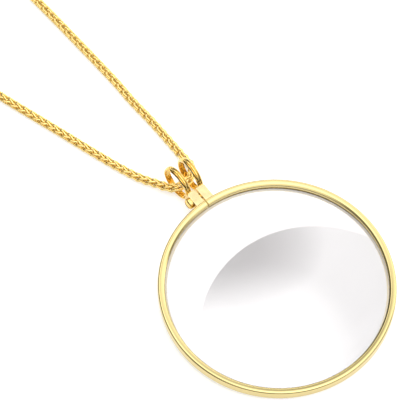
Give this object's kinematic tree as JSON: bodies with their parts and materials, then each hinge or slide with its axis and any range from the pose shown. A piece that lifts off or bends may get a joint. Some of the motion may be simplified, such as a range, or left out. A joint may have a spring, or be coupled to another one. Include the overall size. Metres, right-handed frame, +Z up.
{
  "type": "magnifier pendant necklace",
  "caption": "Round magnifying lens in a slim gold rim, hung by a screwed bail with upright loops on a fine woven gold chain closed by a clasp.",
  "frame": {"origin": "on the surface that the necklace lies on, under the middle of its whole outline", "axes": "+Z up from the surface; +Y along the necklace, from the pendant towards the clasp; +X to the right of it"},
  "size_m": [0.1178, 0.41, 0.0072],
  "materials": {
    "polished_gold": "gold-plated brass, polished bright",
    "screw_gold": "gold-plated brass, turned and polished",
    "chain_gold": "gold-plated brass wire, drawn and polished",
    "lens_glass": "clear optical glass, ground and polished"
  },
  "bodies": {
    "root": {"frame": "polished_gold", "lens": "lens_glass", "closing_screw": "screw_gold", "chain": "chain_gold", "clasp": "polished_gold"}
  },
  "joints": []
}
